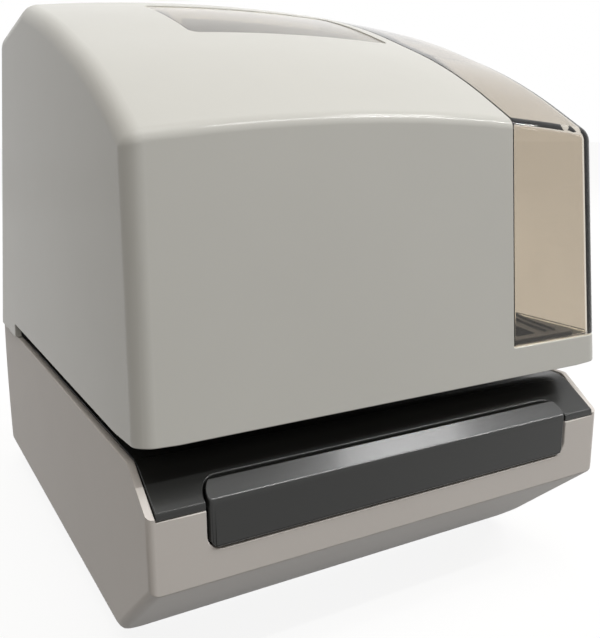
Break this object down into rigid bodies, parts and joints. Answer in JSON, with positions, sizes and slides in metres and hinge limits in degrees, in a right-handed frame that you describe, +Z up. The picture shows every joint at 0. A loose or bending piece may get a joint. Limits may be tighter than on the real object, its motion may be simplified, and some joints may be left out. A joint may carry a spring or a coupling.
{
  "type": "date and time stamp machine",
  "caption": "Desktop electronic time stamp: wedge-shaped base, dark paper table and print bar, hinged cover with a smoked corner and top window.",
  "frame": {"origin": "under the middle of the machine, on the plane of its feet", "axes": "+X to the user's right, +Y to the back, +Z up"},
  "size_m": [0.1474, 0.1906, 0.1808],
  "materials": {
    "white_shell": "moulded light grey, half gloss",
    "white_cover": "moulded off-white, gloss",
    "zinc_steel": "zinc-plated sheet",
    "black_steel": "black coated sheet",
    "bright_steel": "ground steel",
    "bright_screws": "plated screws",
    "chrome_lock": "plated",
    "black_rubber": "moulded rubber",
    "belt_rubber": "toothed belt",
    "dark_grey": "moulded dark grey, gloss",
    "black_plastic": "moulded black",
    "gloss_black": "moulded black, gloss",
    "head_metal": "cast and finned",
    "brass_gear": "turned brass",
    "white_gear": "natural acetal",
    "knob_plastic": "moulded blue",
    "ink_fabric": "inked nylon",
    "silver_frame": "display bezel, satin",
    "display_glass": "display face",
    "circuit_board": "green board with parts",
    "white_nylon": "nylon",
    "battery_wrap": "shrink wrap",
    "smoked_plastic": "brown smoked, clear",
    "key_plastic": "moulded"
  },
  "bodies": {
    "base": {"base_housing": "white_shell", "base_plate": "zinc_steel", "rubber_feet": "black_rubber", "base_screws": "bright_screws", "paper_table": "dark_grey", "platen_pad": "black_rubber", "bar_bracket": "zinc_steel", "print_switch": "black_plastic", "side_frame_left": "zinc_steel", "side_frame_right": "zinc_steel", "head_plate": "black_steel", "cross_plate": "zinc_steel", "carriage_shaft": "bright_steel", "guide_rail": "bright_steel", "timing_belt": "belt_rubber", "carriage_motor": "zinc_steel", "idler_post": "bright_steel", "ribbon_cassette": "gloss_black", "ink_ribbon": "ink_fabric", "lcd_module": "silver_frame", "lcd_glass": "display_glass", "display_board": "circuit_board", "display_bracket": "zinc_steel", "display_spacers": "white_nylon", "main_board": "circuit_board", "board_spacers": "white_nylon", "backup_battery": "battery_wrap", "hinge_pins": "bright_steel", "power_socket": "black_plastic"},
    "cover": {"upper_cover": "white_cover", "smoked_cover": "smoked_plastic", "top_window": "smoked_plastic", "lock_barrel": "chrome_lock", "lock_nut": "bright_steel"},
    "cover_lock": {"lock_cam": "zinc_steel"},
    "print_bar": {"print_bar": "dark_grey", "bar_springs": "bright_steel"},
    "paper_stop": {"paper_stop": "dark_grey"},
    "carriage": {"carriage": "black_plastic", "print_head": "head_metal"},
    "drive_pulley": {"drive_pulley": "brass_gear", "motor_shaft": "bright_steel"},
    "idler_pulley": {"idler_pulley": "white_gear"},
    "ribbon_knob": {"ribbon_knob": "knob_plastic"},
    "set_key_1": {"set_key_1": "key_plastic"},
    "set_key_2": {"set_key_2": "key_plastic"},
    "set_key_3": {"set_key_3": "key_plastic"}
  },
  "joints": [
    {"name": "cover_hinge", "type": "hinge", "parent": "base", "child": "cover", "pos_m": [0, 0.08927, 0.0619], "axis": [-1, 0, 0], "range_deg": [0, 80]},
    {"name": "lock_turn", "type": "hinge", "parent": "cover", "child": "cover_lock", "pos_m": [0.0615, 0.038, 0.095], "axis": [1, 0, 0], "range_deg": [0, 90]},
    {"name": "print_bar_press", "type": "slide", "parent": "base", "child": "print_bar", "axis": [0, 1, 0], "range_m": [0, 0.001], "stiffness_N_per_m": 400},
    {"name": "paper_stop_slide", "type": "slide", "parent": "base", "child": "paper_stop", "axis": [0, 1, 0], "range_m": [0, 0.03]},
    {"name": "carriage_slide", "type": "slide", "parent": "base", "child": "carriage", "axis": [1, 0, 0], "range_m": [-0.03, 0.03]},
    {"name": "drive_pulley_turn", "type": "hinge", "parent": "base", "child": "drive_pulley", "pos_m": [-0.038, 0.004, 0.091], "axis": [0, 0, 1], "range_deg": [-265, 265]},
    {"name": "idler_pulley_turn", "type": "hinge", "parent": "base", "child": "idler_pulley", "pos_m": [0.046, 0.004, 0.091], "axis": [0, 0, 1], "range_deg": [-265, 265]},
    {"name": "ribbon_knob_turn", "type": "hinge", "parent": "base", "child": "ribbon_knob", "pos_m": [0.046, -0.068, 0.076], "axis": [0, 0, 1], "continuous": true},
    {"name": "set_key_1_press", "type": "slide", "parent": "base", "child": "set_key_1", "axis": [0, 0.2924, -0.9563], "range_m": [0, 0.0008], "stiffness_N_per_m": 150},
    {"name": "set_key_2_press", "type": "slide", "parent": "base", "child": "set_key_2", "axis": [0, 0.2924, -0.9563], "range_m": [0, 0.0008], "stiffness_N_per_m": 150},
    {"name": "set_key_3_press", "type": "slide", "parent": "base", "child": "set_key_3", "axis": [0, 0.2924, -0.9563], "range_m": [0, 0.0008], "stiffness_N_per_m": 150}
  ],
  "couplings": [
    {"joint": "drive_pulley_turn", "follows": "carriage_slide", "rad_per_m": 151.52},
    {"joint": "idler_pulley_turn", "follows": "carriage_slide", "rad_per_m": 151.52}
  ]
}
